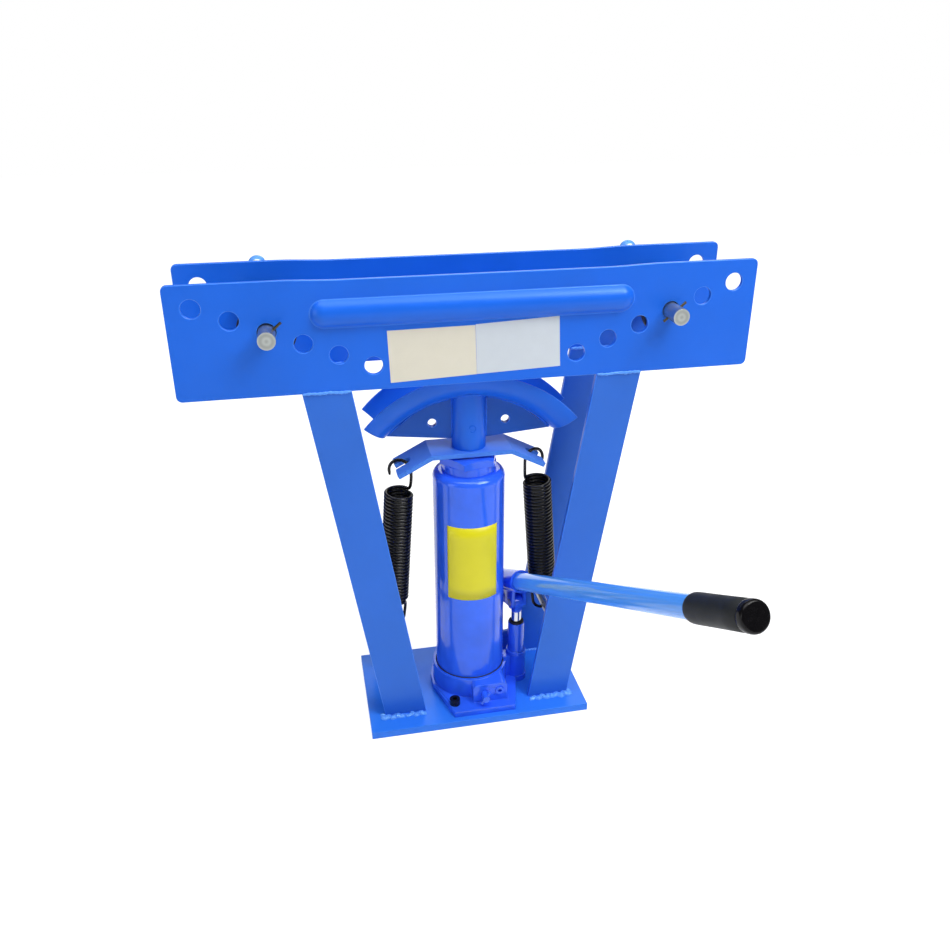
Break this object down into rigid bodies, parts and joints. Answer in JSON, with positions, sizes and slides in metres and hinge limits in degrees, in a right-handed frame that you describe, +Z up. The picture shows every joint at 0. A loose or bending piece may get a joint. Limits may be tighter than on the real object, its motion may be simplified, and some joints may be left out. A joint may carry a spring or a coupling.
{
  "type": "hydraulic pipe bender",
  "caption": "Upright hydraulic pipe bender: bottle jack in a welded frame lifts a grooved die between side plates carrying rollers on pins, with return springs and a pump handle.",
  "frame": {"origin": "middle of the underside of the base plate, where the machine stands on the floor or bench", "axes": "+X along the side plates to the right as seen from the front, +Y to the rear, +Z up along the ram"},
  "size_m": [0.62, 0.5208, 0.5621],
  "materials": {
    "frame_paint": "bright blue gloss powder coat",
    "handle_paint": "bright blue gloss enamel",
    "jack_paint": "royal blue gloss enamel",
    "zinc_steel": "bright zinc plate",
    "ground_steel": "ground and hard chromed",
    "dark_steel": "dark phosphated steel",
    "cotter_steel": "yellow passivated steel",
    "black_steel": "black oxide",
    "seal_rubber": "black nitrile",
    "grip_rubber": "black moulded rubber"
  },
  "bodies": {
    "frame": {"base_plate": "frame_paint", "front_side_plate": "frame_paint", "rear_side_plate": "frame_paint", "front_left_leg": "frame_paint", "front_right_leg": "frame_paint", "rear_left_leg": "frame_paint", "rear_right_leg": "frame_paint", "left_spring_rod": "zinc_steel", "right_spring_rod": "zinc_steel", "left_spring": "black_steel", "right_spring": "black_steel", "jack_foot": "jack_paint", "tank": "jack_paint", "pressure_cylinder": "zinc_steel", "gland_nut": "jack_paint", "tank_seal": "seal_rubber", "filler_plug": "seal_rubber", "hold_down_screws": "black_steel", "ram_wiper": "seal_rubber", "release_ball": "zinc_steel", "overload_screw": "jack_paint", "overload_spring_pad": "zinc_steel", "check_balls": "zinc_steel", "pump_cylinder": "jack_paint", "pump_wiper": "seal_rubber", "link_plates": "zinc_steel", "link_foot_pin": "zinc_steel", "fulcrum_pin": "zinc_steel"},
    "ram": {"ram": "ground_steel", "ram_piston": "dark_steel", "ram_seal": "seal_rubber", "yoke": "frame_paint"},
    "die": {"die_channel": "frame_paint", "die_left_web": "frame_paint", "die_right_web": "frame_paint", "die_socket": "frame_paint"},
    "lever": {"lever": "jack_paint", "plunger_pin_rod": "zinc_steel"},
    "handle": {"handle_tube": "handle_paint", "handle_grip": "grip_rubber"},
    "plunger": {"plunger": "ground_steel", "plunger_seal": "seal_rubber"},
    "release_valve": {"release_valve": "jack_paint"},
    "left_roller": {"left_roller": "dark_steel"},
    "right_roller": {"right_roller": "dark_steel"},
    "left_pin": {"left_roller_pin": "zinc_steel"},
    "right_pin": {"right_roller_pin": "zinc_steel"},
    "left_cotter": {"left_cotter": "cotter_steel"},
    "right_cotter": {"right_cotter": "cotter_steel"}
  },
  "joints": [
    {"name": "ram_lift", "type": "slide", "parent": "frame", "child": "ram", "axis": [0, 0, 1], "range_m": [0, 0.16], "deforming": ["left_spring", "right_spring"]},
    {"name": "die_lift", "type": "slide", "parent": "ram", "child": "die", "axis": [0, 0, 1], "range_m": [0, 0.044]},
    {"name": "lever_swing", "type": "hinge", "parent": "frame", "child": "lever", "pos_m": [0.05529, 0.02454, 0.12062], "axis": [-0.9848, -0.1736, 0], "range_deg": [-33, 18]},
    {"name": "plunger_slide", "type": "slide", "parent": "frame", "child": "plunger", "axis": [0, 0, 1], "range_m": [-0.0175, 0.0095]},
    {"name": "handle_pull", "type": "slide", "parent": "lever", "child": "handle", "axis": [0.1549, -0.8782, 0.4524], "range_m": [0, 0.04]},
    {"name": "release_turn", "type": "hinge", "parent": "frame", "child": "release_valve", "pos_m": [0.0075, -0.06, 0.0305], "axis": [0, -1, 0], "range_deg": [0, 360]},
    {"name": "left_roller_spin", "type": "hinge", "parent": "frame", "child": "left_roller", "pos_m": [-0.2145, 0, 0.50906], "axis": [0, 1, 0], "continuous": true},
    {"name": "right_roller_spin", "type": "hinge", "parent": "frame", "child": "right_roller", "pos_m": [0.2145, 0, 0.50906], "axis": [0, 1, 0], "continuous": true},
    {"name": "left_pin_turn", "type": "hinge", "parent": "frame", "child": "left_pin", "pos_m": [-0.2145, 0, 0.50906], "axis": [0, 1, 0], "continuous": true},
    {"name": "right_pin_turn", "type": "hinge", "parent": "frame", "child": "right_pin", "pos_m": [0.2145, 0, 0.50906], "axis": [0, 1, 0], "continuous": true},
    {"name": "left_cotter_pull", "type": "slide", "parent": "left_pin", "child": "left_cotter", "axis": [0.766, 0, 0.6428], "range_m": [0, 0.022]},
    {"name": "right_cotter_pull", "type": "slide", "parent": "right_pin", "child": "right_cotter", "axis": [0.766, 0, 0.6428], "range_m": [0, 0.025]}
  ],
  "couplings": [
    {"joint": "plunger_slide", "follows": "lever_swing", "m_per_rad": 0.0296}
  ]
}
